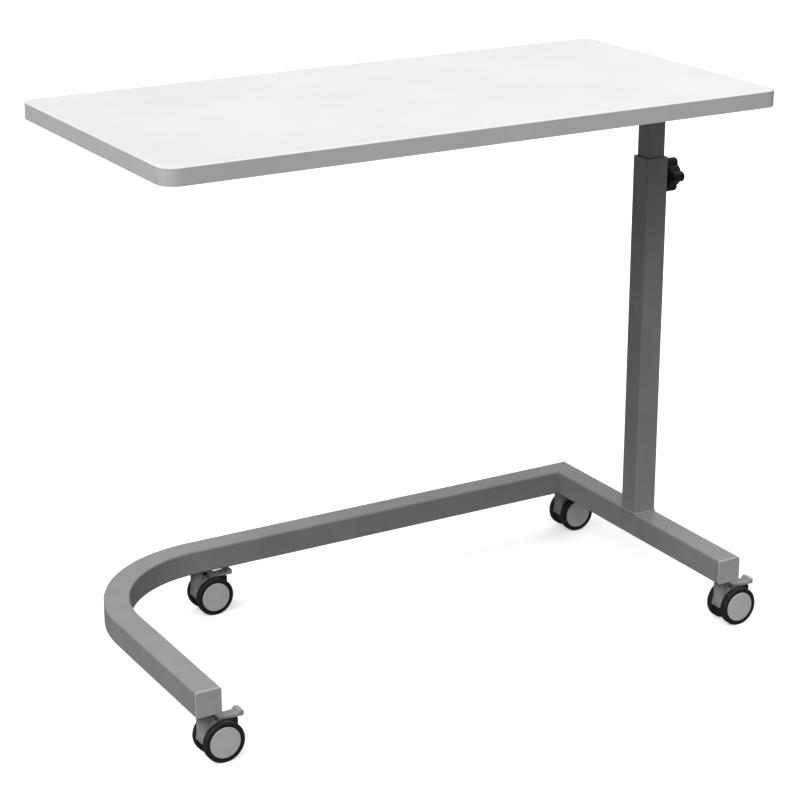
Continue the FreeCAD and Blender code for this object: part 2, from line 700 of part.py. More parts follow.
def make_curved_rail():
    """Back rail, large bend and left leg, one bent tube."""
    body = new_body("curved_rail", (LEG_X, "0", RAIL_Z))
    corner_x = f"({COLUMN_X} - {LEG_X} + dims.tube_width / 2)"
    route = new_sketch(body, "XY_Plane")
    points = [
        (corner_x, BACK_RAIL_Y),
        ("dims.bend_radius", BACK_RAIL_Y),
        ("0", f"{BACK_RAIL_Y} - dims.bend_radius"),
        ("0", f"{FRONT_Y} + dims.cap_thickness"),
    ]
    draw_chain(route, points, {1: "dims.bend_radius"}, closed=False)
    section = new_sketch(body, "YZ_Plane", corner_x)
    tube_ring(
        section,
        "dims.tube_width",
        "dims.tube_wall",
        "dims.tube_corner",
        "dims.tube_bore_corner",
        (BACK_RAIL_Y, "0"),
    )
    DOC.recompute()
    pipe = body.newObject("PartDesign::AdditivePipe", "curved_rail_tube")
    pipe.Profile = section
    pipe.Spine = (route, [f"Edge{place}" for place in range(1, len(points))])
    DOC.recompute()
    corners = [
        (corner_x, "dims.base_depth / 2"),
        (f"{corner_x} - dims.tube_width", "dims.base_depth / 2 - dims.tube_width"),
        (corner_x, "dims.base_depth / 2 - dims.tube_width"),
    ]
    cut_mitre(body, corners, "dims.tube_width")
    places = ((LEG_X, STEM_FRONT_Y), (BEND_STEM_X, BACK_RAIL_Y), (COLUMN_X, BACK_RAIL_Y))
    cut_sleeve_holes(body, places, LEG_X, "0", "-dims.tube_width / 2")


def make_end_caps():
    """Caps in the front ends of the two rails."""
    tongue_width = "(dims.tube_width - 2 * dims.tube_wall - 2 * dims.plug_fit)"
    caps = []
    for name, rail_x in (("right", COLUMN_X), ("left", LEG_X)):
        place = (rail_x, f"{FRONT_Y} + dims.cap_thickness", RAIL_Z)
        body = new_body(f"end_cap_{name}", place, sub_part=False)
        head = new_sketch(body, "XZ_Plane")
        draw_rounded_rectangle(head, "dims.tube_width", "dims.tube_width", "dims.tube_corner")
        plate = add_pad(body, head, "dims.cap_thickness")
        face = plate.Shape.BoundBox.YMin
        round_edges(
            body,
            plate,
            lambda edge, face=face: abs(edge.CenterOfMass.y - face) < FLAT,
            "dims.cap_edge",
        )
        tongue = new_sketch(body, "XZ_Plane")
        tube_ring(tongue, tongue_width, "dims.cap_wall", "dims.tube_bore_corner", "dims.cap_bore_corner")
        add_pad(body, tongue, "dims.cap_tongue", reverse=True)
        caps.append(body)
    new_group("end_caps", caps)


def make_caster_sleeves():
    """Threaded sleeves welded in the base tubes for the caster stems."""
    sleeves = []
    for name, stem_x, stem_y in CASTERS:
        place = (stem_x, stem_y, "dims.caster_height")
        body = new_body(f"caster_sleeve_{name}", place, sub_part=False)
        ring = new_sketch(body, "XY_Plane")
        draw_circle(ring, "dims.insert_radius")
        draw_circle(ring, "dims.stem_radius + dims.stem_fit")
        add_pad(body, ring, "dims.insert_length")
        sleeves.append(body)
    new_group("caster_sleeves", sleeves)


# ---------------------------------------------------------------- casters


def make_stem(prefix, stem_x, stem_y):
    """Stem with a collar, fixed in the base; the hood turns on its lower end."""
    body = new_body(f"{prefix}_stem", (stem_x, stem_y, "0"))
    tip = "dims.neck_top - dims.swivel_depth + dims.stem_collar_gap"
    collar = "dims.neck_top + dims.stem_collar_gap"
    end = "dims.caster_height + dims.insert_length - dims.stem_end"
    outline = [
        ("0", tip),
        ("dims.stem_radius", tip),
        ("dims.stem_radius", collar),
        ("dims.stem_collar_radius", collar),
        ("dims.stem_collar_radius", "dims.caster_height"),
        ("dims.stem_radius", "dims.caster_height"),
        ("dims.stem_radius", end),
        ("0", end),
    ]
    add_turning(body, outline)


def make_hood(prefix, stem_x, stem_y):
    """Hood between the wheels: it turns on the stem and carries the axle and the pedal."""
    body = new_body(f"{prefix}_hood", (stem_x, stem_y, "0"))
    rise = "sqrt(dims.hood_radius ^ 2 - (dims.trail - dims.hood_top_offset) ^ 2)"
    side = new_sketch(body, "XZ_Plane")
    points = [
        ("dims.hood_top_offset", f"dims.wheel_radius + {rise}"),
        ("dims.trail - dims.hood_radius", "dims.wheel_radius"),
        ("dims.trail - dims.hood_skirt_half", "dims.wheel_radius - dims.hood_skirt"),
        ("dims.trail + dims.hood_skirt_half", "dims.wheel_radius - dims.hood_skirt"),
        ("dims.trail + dims.hood_nose", "dims.wheel_radius + dims.hood_nose_low"),
        ("dims.trail + dims.hood_nose", "dims.wheel_radius + dims.hood_nose_high"),
    ]
    draw_chain(side, points, {0: "dims.hood_radius"})
    web = add_pad(body, side, "dims.hood_width", symmetric=True)
    round_edges(body, web, lambda edge: edge.BoundBox.YLength < FLAT, "dims.hood_edge")
    neck = new_sketch(body, "XY_Plane", "dims.neck_start")
    draw_circle(neck, "dims.neck_radius")
    add_pad(body, neck, "dims.neck_top - dims.neck_start")
    bore = new_sketch(body, "XY_Plane", "dims.neck_top")
    draw_circle(bore, "dims.stem_radius + dims.swivel_fit")
    add_pocket(body, bore, "dims.swivel_depth")
    slot = new_sketch(body, "XZ_Plane")
    draw_rectangle(
        slot,
        "dims.slot_start",
        "dims.trail + dims.hood_nose + dims.hood_edge",
        "dims.slot_floor",
        "dims.neck_top",
    )
    add_pocket(body, slot, "dims.slot_width", symmetric=True)
    bores = new_sketch(body, "XZ_Plane")
    draw_circle(bores, "dims.axle_radius", ("dims.trail", "dims.wheel_radius"))
    draw_circle(bores, "dims.pin_radius", ("dims.pivot_offset", "dims.pivot_height"))
    add_pocket(body, bores, "2 * dims.hood_width", symmetric=True)


def make_pins(prefix, stem_x, stem_y):
    """Axle and pedal pin, both pressed in the hood."""
    pins = []
    for name, radius, center, length in (
        ("axle", "dims.axle_radius", ("dims.trail", "dims.wheel_radius"), "2 * dims.axle_half_length"),
        (
            "pedal_pin",
            "dims.pin_radius",
            ("dims.pivot_offset", "dims.pivot_height"),
            "dims.hood_width - 2 * dims.pin_end_gap",
        ),
    ):
        body = new_body(f"{prefix}_{name}", (stem_x, stem_y, "0"), sub_part=False)
        section = new_sketch(body, "XZ_Plane")
        draw_circle(section, radius, center)
        add_pad(body, section, length, symmetric=True)
        pins.append(body)
    new_group(f"{prefix}_pins", pins)


def make_wheel(prefix, stem_x, stem_y, side, sign):
    """One wheel: core, tyre and hub cap, on the side that sign points to along Y."""
    place = (f"{stem_x} + dims.trail", stem_y, "dims.wheel_radius")
    seat = "(dims.wheel_radius - dims.tyre_depth)"
    cap_back = "(dims.wheel_outer_face - dims.hub_cap_thickness)"

    core = new_body(f"{prefix}_{side}_wheel", place)
    bore = "(dims.axle_radius + dims.wheel_fit)"
    inner = f"{sign} * dims.wheel_inner_face"
    outer = f"{sign} * ({cap_back} - dims.wheel_fit)"
    rim = f"({seat} - dims.wheel_fit)"
    add_wheel_turning(core, [(bore, inner), (rim, inner), (rim, outer), (bore, outer)])

    tyre = new_body(f"{prefix}_{side}_tyre", place)
    near = f"{sign} * (dims.wheel_inner_face + dims.tyre_inset)"
    far = f"{sign} * (dims.wheel_outer_face - dims.tyre_inset)"
    tread = "dims.wheel_radius"
    ring = add_wheel_turning(tyre, [(seat, near), (tread, near), (tread, far), (seat, far)])
    shoulder = WHOLE_CIRCLE * number(tread)
    round_edges(tyre, ring, lambda edge: edge.BoundBox.XLength > shoulder, "dims.tyre_rounding")

    cap = new_body(f"{prefix}_{side}_hub_cap", place)
    back = f"{sign} * {cap_back}"
    front = f"{sign} * dims.wheel_outer_face"
    outline = [
        ("0", back),
        ("dims.hub_cap_radius", back),
        ("dims.hub_cap_radius", f"{sign} * (dims.wheel_outer_face - dims.hub_cap_bevel)"),
        ("dims.hub_cap_radius - dims.hub_cap_bevel", front),
        ("0", front),
    ]
    add_wheel_turning(cap, outline)


def make_brake_pedal(prefix, stem_x, stem_y):
    """Pedal over the hood's nose, hinged on its pin, widening to an upturned paddle."""
    body = new_body(f"{prefix}_brake_pedal", (stem_x, stem_y, "0"))
    top = "(dims.pedal_bottom + dims.pedal_thickness)"
    side = new_sketch(body, "XZ_Plane")
    points = [
        ("dims.pedal_heel", "dims.pedal_bottom"),
        ("dims.pedal_reach", "dims.pedal_bottom"),
        ("dims.pedal_reach", f"{top} + dims.paddle_rise - dims.paddle_edge"),
        ("dims.pedal_reach - dims.paddle_edge", f"{top} + dims.paddle_rise"),
        ("dims.paddle_start + dims.paddle_slope", f"{top} + dims.paddle_rise"),
        ("dims.paddle_start", top),
        ("dims.pedal_heel", top),
    ]
    draw_chain(side, points)
    add_pad(body, side, "dims.pedal_width", symmetric=True)
    flare = new_sketch(body, "XY_Plane", "dims.neck_top")
    for sign in ("-1", "1"):
        outer = f"{sign} * dims.pedal_width / 2"
        heel = ("dims.pedal_heel", f"{sign} * dims.pedal_heel_width / 2")
        draw_chain(flare, [heel, ("dims.pedal_reach", outer), ("dims.pedal_heel", outer)])
    flared = add_pocket(body, flare, "dims.neck_top - dims.pivot_height")
    tip = number("dims.pedal_reach")
    round_edges(
        body,
        flared,
        lambda edge: edge.BoundBox.XMin > tip - FLAT and edge.BoundBox.ZLength > FLAT,
        "dims.paddle_rounding",
    )
    lug = new_sketch(body, "XZ_Plane")
    left = "dims.pivot_offset - dims.pedal_lug_radius"
    right = "dims.pivot_offset + dims.pedal_lug_radius"
    draw_rectangle(lug, left, right, "dims.pivot_height", "dims.pedal_bottom + dims.pedal_lug_overlap")
    add_pad(body, lug, "dims.pedal_lug_width", symmetric=True)
    eye = new_sketch(body, "XZ_Plane")
    pivot = ("dims.pivot_offset", "dims.pivot_height")
    draw_circle(eye, "dims.pedal_lug_radius", pivot)
    add_pad(body, eye, "dims.pedal_lug_width", symmetric=True)
    bore = new_sketch(body, "XZ_Plane")
    draw_circle(bore, "dims.pin_radius + dims.pin_fit", pivot)
    add_pocket(body, bore, "2 * dims.pedal_lug_width", symmetric=True)
    dimple = new_sketch(body, "XY_Plane", top)
    draw_circle(dimple, "dims.dimple_radius", ("dims.dimple_offset", "0"))
    add_pocket(body, dimple, "dims.dimple_depth")


def make_caster(name, stem_x, stem_y):
    """Twin-wheel swivel caster with a brake pedal, trailing towards +X."""
    prefix = f"caster_{name}"
    make_stem(prefix, stem_x, stem_y)
    make_hood(prefix, stem_x, stem_y)
    make_pins(prefix, stem_x, stem_y)
    for side, sign in (("near", "-1"), ("far", "1")):
        make_wheel(prefix, stem_x, stem_y, side, sign)
    make_brake_pedal(prefix, stem_x, stem_y)


# ---------------------------------------------------------------- check and write


def check_document():
    """Stop if any object failed or any sub-part has no sound shape."""
    DOC.recompute()
    for item in DOC.Objects:
        if "Invalid" in item.State or "Error" in item.State:
            raise RuntimeError(f"{item.Label} failed: {item.State}")
    for part in SUB_PARTS:
        if part.Shape.isNull() or not part.Shape.isValid() or not part.Shape.Solids:
            raise RuntimeError(f"{part.Label} has no sound shape")


def write_parts():
    """Write each sub-part's shape to its own file."""
    os.makedirs("parts", exist_ok=True)
    for part in SUB_PARTS:
        part.Shape.exportStep(f"parts/{part.Label}.step")


fill_sheet()
make_tabletop_panel()
make_upper_laminate()
make_lower_laminate()
make_edge_band()
make_cross_bars()
make_panel_screws()
make_support_beam()
make_beam_end_plugs()
make_inner_mast()
make_mast_foot()
make_outer_column()
make_guide_bush()
make_clamp_boss()
make_clamp_pad()
make_clamp_stud()
make_clamp_knob()
make_column_rail()
make_curved_rail()
make_end_caps()
make_caster_sleeves()
for caster in CASTERS:
    make_caster(*caster)
check_document()
write_parts()
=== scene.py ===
"""Looks of the overbed table. Metres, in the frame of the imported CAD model."""

import json
import math

import bmesh
import bpy
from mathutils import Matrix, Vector

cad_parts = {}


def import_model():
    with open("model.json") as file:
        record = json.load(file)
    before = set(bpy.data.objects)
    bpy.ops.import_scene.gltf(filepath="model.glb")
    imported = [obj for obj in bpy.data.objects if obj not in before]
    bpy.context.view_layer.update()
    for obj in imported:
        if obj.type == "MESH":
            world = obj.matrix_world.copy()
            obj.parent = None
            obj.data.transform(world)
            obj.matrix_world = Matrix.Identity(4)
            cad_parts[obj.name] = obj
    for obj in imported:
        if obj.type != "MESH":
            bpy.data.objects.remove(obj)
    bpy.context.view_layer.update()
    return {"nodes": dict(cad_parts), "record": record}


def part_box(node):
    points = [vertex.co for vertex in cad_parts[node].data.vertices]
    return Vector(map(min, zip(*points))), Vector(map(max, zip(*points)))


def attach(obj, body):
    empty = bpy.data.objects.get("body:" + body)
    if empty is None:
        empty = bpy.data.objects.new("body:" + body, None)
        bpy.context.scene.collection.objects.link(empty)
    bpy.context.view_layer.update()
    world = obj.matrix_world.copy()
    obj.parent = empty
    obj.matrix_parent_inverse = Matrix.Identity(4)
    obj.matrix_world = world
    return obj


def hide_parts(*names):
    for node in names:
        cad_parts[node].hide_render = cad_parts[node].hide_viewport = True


X_AXIS = Vector((1, 0, 0))
Y_AXIS = Vector((0, 1, 0))
Z_AXIS = Vector((0, 0, 1))

# Materials: the middle of a noise's range, what counts as an edge, and how edges are rubbed.
NOISE_LOW = 0.3
NOISE_HIGH = 0.7
EDGE_SAMPLES = 6
EDGE_SHARP = 0.86
EDGE_FLAT = 0.99
RUB_PATCH = 0.012
RUB_GRAIN = 0.003
RUB_START = 0.38
RUB_END = 0.62

# Weld beads: their sections, and the ripples along them.
BEAD_SIDES = 12
BEAD_STEP = 0.0006
STEP_SLACK = 1e-9
RIPPLE_PITCH = 0.0026
RIPPLE_DEPTH = 0.07
CORNER_STEPS = 8

# Welds: bead radii, how far a bead's middle lies inside the tube's face (or outside, for a bulge) as a
# share of its radius, the corners that the beads go round, and where the beads on the cross bars end.
COLUMN_BEAD = 0.0024
MAST_BEAD = 0.002
TUBE_INSET = 0.55
TUBE_BULGE = 0.1
TUBE_CORNER = 0.0025
MITRE_BEAD = 0.0016
MITRE_INSET = 0.75
MITRE_CORNER = 0.003
BOSS_BEAD = 0.0011
BAR_BEAD = 0.0017
BAR_WIDTH = 0.03
BAR_WELD_END = 0.002

# Pieces: the facets round a turned one, and the angle from which an edge stays sharp.
TURN_SIDES = 40
SHARP_ANGLE = math.radians(32)

# Panel screws: the decimals that tell two tips apart, and heads as in the CAD, with a cross recess.
TIP_DIGITS = 5
SCREW_SHANK = 0.002
SCREW_POINT = 0.004
SCREW_LENGTH = 0.016
HEAD_RADIUS = 0.004
HEAD_HEIGHT = 0.0024
HEAD_SIDE = 0.001
HEAD_CROWN_STEPS = 6
RECESS_REACH = 0.0021
RECESS_HALF_WIDTH = 0.0005
RECESS_DEPTH = 0.0011
RECESS_TAPER = 0.6

# Cap in the knob's outer face.
CAP_SHARE = 0.34
CAP_CROWN = 0.0012
CAP_STEPS = 8

# Black blocks over the two cheeks of each caster hood's nose: painted shade under the brake pedal.
BLOCK_TOP_DROP = 0.0124
BLOCK_HEIGHT = 0.0104
BLOCK_LENGTH = 0.0195
BLOCK_INNER_OFFSET = 0.00425
BLOCK_SKIN = 0.0003
BLOCK_EDGE = 0.0006
BLOCK_EDGE_SEGMENTS = 3
ROUND_PROFILE = 0.5

# Camera, at the photograph's viewing angle.
CAMERA_AZIMUTH = math.radians(-30.27)
CAMERA_ELEVATION = math.radians(19.32)
CAMERA_DISTANCE = 2.81
CAMERA_AIM = Vector((0.0015, 0.0188, 0.3037))
CAMERA_LENS = 102.27
SENSOR_WIDTH = 36.0

# Lamps: name, azimuth (0 from -Y, 90 from +X), elevation, strength, and how wide the lamp looks.
LAMPS = (
    ("left", -90, 52, 1.35, 40),
    ("front_left", -58, 50, 0.88, 40),
    ("front", -26, 50, 0.69, 40),
    ("front_right", 20, 64, 0.5, 40),
    ("back", 130, 35, 0.45, 60),
)
WORLD_STRENGTH = 0.2
BACKDROP_STRENGTH = 1.0
FLOOR_HALF = 60.0
FLOOR_GLOW = 0.5


# ---------------------------------------------------------------- materials


class Surface:
    """A material built from nodes, one layer at a time."""

    def __init__(self, name, metallic=0.0, specular=0.5):
        self.material = bpy.data.materials.new(name)
        self.material.use_nodes = True
        self.tree = self.material.node_tree
        self.shader = self.tree.nodes["Principled BSDF"]
        self.shader.inputs["Metallic"].default_value = metallic
        self.shader.inputs["Specular IOR Level"].default_value = specular
        self.place = self.add("ShaderNodeTexCoord").outputs["Object"]
        self.normal = None

    def add(self, kind, **settings):
        """Add a node with the given settings."""
        node = self.tree.nodes.new(kind)
        for setting, value in settings.items():
            setattr(node, setting, value)
        return node

    def feed(self, source, target):
        """Link an output to an input."""
        self.tree.links.new(source, target)

    def stretched(self, factors):
        """The surface's own coordinates, scaled along each axis."""
        mapping = self.add("ShaderNodeMapping")
        mapping.inputs["Scale"].default_value = factors
        self.feed(self.place, mapping.inputs["Vector"])
        return mapping.outputs["Vector"]

    def noise(self, size, detail=3, stretch=(1, 1, 1)):
        """Noise whose main features have this size in metres."""
        texture = self.add("ShaderNodeTexNoise")
        texture.inputs["Scale"].default_value = 1 / size
        texture.inputs["Detail"].default_value = detail
        self.feed(self.stretched(stretch), texture.inputs["Vector"])
        return texture.outputs["Fac"]

    def cells(self, size):
        """Voronoi cells of this size in metres."""
        texture = self.add("ShaderNodeTexVoronoi")
        texture.inputs["Scale"].default_value = 1 / size
        self.feed(self.place, texture.inputs["Vector"])
        return texture

    def between(self, source, low, high, start=NOISE_LOW, end=NOISE_HIGH):
        """Spread a source over a range of values."""
        spread = self.add("ShaderNodeMapRange")
        spread.inputs["From Min"].default_value = start
        spread.inputs["From Max"].default_value = end
        spread.inputs["To Min"].default_value = low
        spread.inputs["To Max"].default_value = high
        self.feed(source, spread.inputs["Value"])
        return spread.outputs["Result"]

    def ramp(self, source, stops):
        """Colour ramp over a source, from (position, colour) stops."""
        node = self.add("ShaderNodeValToRGB")
        elements = node.color_ramp.elements
        for position, _ in stops[1:-1]:
            elements.new(position)
        for element, (position, color) in zip(elements, stops):
            element.position = position
            element.color = (*color, 1)
        self.feed(source, node.inputs["Fac"])
        return node.outputs["Color"]

    def mottle(self, source, first, second):
        """Drift between two colours over a noise."""
        return self.ramp(source, [(NOISE_LOW, first), (NOISE_HIGH, second)])

    def times(self, first, second):
        """Product of two values."""
        node = self.add("ShaderNodeMath", operation="MULTIPLY")
        self.feed(first, node.inputs[0])
        self.feed(second, node.inputs[1])
        return node.outputs["Value"]

    def edges(self, width):
        """1 on edges of about this width, 0 on open faces."""
        bevel = self.add("ShaderNodeBevel", samples=EDGE_SAMPLES)
        bevel.inputs["Radius"].default_value = width
        geometry = self.add("ShaderNodeNewGeometry")
        alike = self.add("ShaderNodeVectorMath", operation="DOT_PRODUCT")
        self.feed(bevel.outputs["Normal"], alike.inputs[0])
        self.feed(geometry.outputs["Normal"], alike.inputs[1])
        return self.between(alike.outputs["Value"], 1.0, 0.0, start=EDGE_SHARP, end=EDGE_FLAT)

    def blend(self, factor, base, other):
        """Mix a colour over another one where the factor is high."""
        node = self.add("ShaderNodeMix", data_type="RGBA")
        self.feed(factor, node.inputs["Factor"])
        self.feed(base, node.inputs["A"])
        self.feed(other, node.inputs["B"])
        return node.outputs["Result"]

    def bump(self, height, depth):
        """Raise the surface by up to a depth in metres."""
        node = self.add("ShaderNodeBump")
        node.inputs["Strength"].default_value = 1.0
        node.inputs["Distance"].default_value = depth
        self.feed(height, node.inputs["Height"])
        if self.normal is not None:
            self.feed(self.normal, node.inputs["Normal"])
        self.normal = node.outputs["Normal"]

    def finish(self, color, sheen, roughness):
        """Join the layers to the shader; the sheen's noise drifts between two roughnesses."""
        self.feed(self.between(sheen, *roughness), self.shader.inputs["Roughness"])
        self.feed(color, self.shader.inputs["Base Color"])
        if self.normal is not None:
            self.feed(self.normal, self.shader.inputs["Normal"])
        return self.material


def grey(value):
    """Colour with the same value in all three channels."""
    return (value, value, value)


def worn_greys(surface, tones, drift, edge, rubbed):
    """Slow drift between two greys, with edges of a given width rubbed to two other greys in patches."""
    base = surface.mottle(surface.noise(size=drift), *map(grey, tones))
    patches = surface.noise(size=RUB_PATCH, detail=4)
    wear = surface.between(patches, 0.0, 1.0, start=RUB_START, end=RUB_END)
    worn = surface.mottle(surface.noise(size=RUB_GRAIN), *map(grey, rubbed))
    return surface.blend(surface.times(surface.edges(edge), wear), base, worn)


def make_white_laminate():
    """White melamine: fine pearl texture, faint wiping marks in its sheen."""
    surface = Surface("white_laminate", specular=0.4)
    color = worn_greys(surface, tones=(0.80, 0.84), drift=0.16, edge=0.0007, rubbed=(0.82, 0.9))
    surface.bump(surface.noise(size=0.0009, detail=2), depth=0.00003)
    wiping = surface.noise(size=0.05, detail=4, stretch=(1, 5, 1))
    return surface.finish(color, sheen=wiping, roughness=(0.38, 0.5))


def make_backing_sheet():
    """Plain backing laminate under the tabletop."""
    surface = Surface("backing_sheet", specular=0.3)
    color = surface.mottle(surface.noise(size=0.09), grey(0.66), grey(0.72))
    surface.bump(surface.noise(size=0.0012, detail=2), depth=0.00004)
    return surface.finish(color, sheen=surface.noise(size=0.03), roughness=(0.5, 0.62))


def make_panel_core():
    """Particle board: pressed chips in several browns."""
    surface = Surface("panel_core", specular=0.2)
    chips = surface.cells(size=0.003)
    browns = [(0.1, (0.30, 0.20, 0.11)), (0.5, (0.50, 0.36, 0.20)), (0.9, (0.62, 0.47, 0.28))]
    color = surface.ramp(chips.outputs["Color"], browns)
    surface.bump(chips.outputs["Distance"], depth=0.0002)
    return surface.finish(color, sheen=surface.noise(size=0.004), roughness=(0.75, 0.9))


def make_edge_band():
    """Grey edge band: drawn lengthwise, with lighter rubbed edges."""
    surface = Surface("edge_band_grey", specular=0.4)
    color = worn_greys(surface, tones=(0.62, 0.66), drift=0.07, edge=0.0006, rubbed=(0.66, 0.74))
    surface.bump(surface.noise(size=0.0008, stretch=(0.1, 0.1, 1)), depth=0.00003)
    return surface.finish(color, sheen=surface.noise(size=0.02), roughness=(0.42, 0.54))


def make_frame_paint():
    """Satin grey powder coat: orange peel, and edges rubbed thin and pale."""
    surface = Surface("frame_paint", specular=0.45)
    color = worn_greys(surface, tones=(0.275, 0.305), drift=0.05, edge=0.0007, rubbed=(0.31, 0.36))
    surface.bump(surface.noise(size=0.0016, detail=2), depth=0.00006)
    surface.bump(surface.noise(size=0.0004, detail=1), depth=0.00001)
    return surface.finish(color, sheen=surface.noise(size=0.012, detail=4), roughness=(0.34, 0.46))


def make_moulded(name, tones, rubbed, roughness):
    """Moulded plastic: spark-eroded grain and slightly polished edges."""
    surface = Surface(name, specular=0.4)
    color = worn_greys(surface, tones, drift=0.018, edge=0.0005, rubbed=rubbed)
    surface.bump(surface.noise(size=0.0006, detail=2), depth=0.00004)
    return surface.finish(color, sheen=surface.noise(size=0.008, detail=4), roughness=roughness)


def make_grey_plastic():
    return make_moulded("grey_plastic", tones=(0.43, 0.47), rubbed=(0.45, 0.49), roughness=(0.46, 0.56))


def make_black_plastic():
    return make_moulded("black_plastic", tones=(0.010, 0.014), rubbed=(0.02, 0.03), roughness=(0.4, 0.52))


def make_hood_grey():
    return make_moulded("hood_grey", tones=(0.29, 0.33), rubbed=(0.33, 0.39), roughness=(0.44, 0.56))


def make_pedal_grey():
    return make_moulded("pedal_grey", tones=(0.42, 0.46), rubbed=(0.5, 0.58), roughness=(0.4, 0.5))


def make_hub_grey():
    return make_moulded("hub_grey", tones=(0.58, 0.63), rubbed=(0.66, 0.74), roughness=(0.4, 0.5))


def make_wheel_core():
    return make_moulded("wheel_core", tones=(0.07, 0.09), rubbed=(0.1, 0.13), roughness=(0.5, 0.6))


def make_tyre_black():
    """Hard black tread: fine matt grain, and a dull sheen that comes and goes."""
    surface = Surface("tyre_black", specular=0.35)
    color = worn_greys(surface, tones=(0.010, 0.015), drift=0.01, edge=0.0008, rubbed=(0.02, 0.03))
    surface.bump(surface.noise(size=0.0007), depth=0.00006)
    return surface.finish(color, sheen=surface.noise(size=0.006, detail=4), roughness=(0.5, 0.68))


def make_zinc_steel():
    """Zinc plate: fine turned lines and a mottled sheen."""
    surface = Surface("zinc_steel", metallic=1.0)
    color = surface.mottle(surface.noise(size=0.004, detail=4), grey(0.52), grey(0.68))
    surface.bump(surface.noise(size=0.0004, detail=2, stretch=(0.2, 0.2, 3)), depth=0.00001)
    return surface.finish(color, sheen=surface.noise(size=0.003, detail=4), roughness=(0.28, 0.42))


def make_brass_pad():
    """Turned brass, a little dull."""
    surface = Surface("brass_pad", metallic=1.0)
    color = surface.mottle(surface.noise(size=0.002, detail=4), (0.55, 0.40, 0.16), (0.72, 0.55, 0.25))
    surface.bump(surface.noise(size=0.0003, detail=2), depth=0.00001)
    return surface.finish(color, sheen=surface.noise(size=0.002), roughness=(0.3, 0.42))


MATERIAL_MAKERS = {
    "white_laminate": make_white_laminate,
    "backing_sheet": make_backing_sheet,
    "panel_core": make_panel_core,
    "edge_band_grey": make_edge_band,
    "frame_paint": make_frame_paint,
    "grey_plastic": make_grey_plastic,
    "black_plastic": make_black_plastic,
    "zinc_steel": make_zinc_steel,
    "brass_pad": make_brass_pad,
    "hood_grey": make_hood_grey,
    "pedal_grey": make_pedal_grey,
    "hub_grey": make_hub_grey,
    "wheel_core": make_wheel_core,
    "tyre_black": make_tyre_black,
}


def cover(piece, material):
    """Give a piece one material."""
    piece.data.materials.clear()
    piece.data.materials.append(material)


def finish_nodes(frame, materials):
    """Give every CAD node the material of its slot."""
    for entry in frame["record"]["subparts"]:
        cover(frame["nodes"][entry["node"]], materials[entry["material_slot"]])


# ---------------------------------------------------------------- pieces


def add_piece(name, mesh, material, body):
    """Turn a bmesh into a smooth piece that rides on a CAD body."""
    bmesh.ops.recalc_face_normals(mesh, faces=mesh.faces)
    data = bpy.data.meshes.new(name)
    mesh.to_mesh(data)
    mesh.free()
    for face in data.polygons:
        face.use_smooth = True
    data.set_sharp_from_angle(angle=SHARP_ANGLE)
    piece = bpy.data.objects.new(name, data)
    bpy.context.scene.collection.objects.link(piece)
    cover(piece, material)
    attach(piece, body)
    return piece


def middle(node):
    """Middle of a CAD node's box."""
    low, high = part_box(node)
    return (low + high) / 2


def half_size(node):
    """Half of a CAD node's size along each axis."""
    low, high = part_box(node)
    return (high - low) / 2


def turn(mesh, center, axis, across, outline):
    """Turn an outline of (radius, height) pairs about an axis, and return its first and last rings."""
    up = axis.cross(across)
    rings = []
    for radius, height in outline:
        ring = []
        for side in range(TURN_SIDES):
            angle = 2 * math.pi * side / TURN_SIDES
            offset = across * math.cos(angle) + up * math.sin(angle)
            ring.append(mesh.verts.new(center + axis * height + offset * radius))
        rings.append(ring)
    for ring, following in zip(rings, rings[1:]):
        join_rings(mesh, ring, following)
    return rings[0], rings[-1]


def join_rings(mesh, ring, following):
    """Join two rings of the same number of points with quads."""
    for side, point in enumerate(ring):
        around = (side + 1) % len(ring)
        mesh.faces.new((point, ring[around], following[around], following[side]))


def close_end(mesh, ring, point):
    """Close a ring with a fan around a point."""
    hub = mesh.verts.new(point)
    for first, second in zip(ring, ring[1:] + ring[:1]):
        mesh.faces.new((first, second, hub))


# ---------------------------------------------------------------- screws and knob


def screw_tips(frame):
    """Points of the panel screws, read from the CAD mesh."""
    points = [vertex.co for vertex in frame["nodes"]["panel_screws"].data.vertices]
    top = max(point.z for point in points)
    highest = [point for point in points if top - point.z < 10**-TIP_DIGITS]
    tips = {tuple(round(part, TIP_DIGITS) for part in point) for point in highest}
    return [Vector(tip) for tip in sorted(tips)]


def crown(radius, height, steps):
    """Quarter of an ellipse from its rim inwards, as (radius, height) pairs, short of the middle."""
    angles = [math.pi / 2 * step / steps for step in range(steps)]
    return [(radius * math.cos(angle), height * math.sin(angle)) for angle in angles]


def cross_outline():
    """Plan of a cross recess, as pairs in two axes."""
    points = []
    for quarter in range(4):
        turn_by = math.pi / 2 * quarter
        cosine = math.cos(turn_by)
        sine = math.sin(turn_by)
        for x, y in (
            (RECESS_HALF_WIDTH, RECESS_HALF_WIDTH),
            (RECESS_HALF_WIDTH, RECESS_REACH),
            (-RECESS_HALF_WIDTH, RECESS_REACH),
        ):
            points.append((x * cosine - y * sine, x * sine + y * cosine))
    return points


def sink_recess(mesh, rim, center):
    """Close a head's flat with a face that has a tapered cross sunk in it; the head faces down."""
    mouth = [mesh.verts.new(center + X_AXIS * x + Y_AXIS * y) for x, y in cross_outline()]
    floor = []
    for x, y in cross_outline():
        inner = X_AXIS * x * RECESS_TAPER + Y_AXIS * y * RECESS_TAPER
        floor.append(mesh.verts.new(center + inner + Z_AXIS * RECESS_DEPTH))
    join_rings(mesh, mouth, floor)
    mesh.faces.new(floor)
    edges = []
    for ring in (rim, mouth):
        for first, second in zip(ring, ring[1:] + ring[:1]):
            edges.append(mesh.edges.get((first, second)) or mesh.edges.new((first, second)))
    bmesh.ops.triangle_fill(mesh, edges=edges, use_beauty=True)


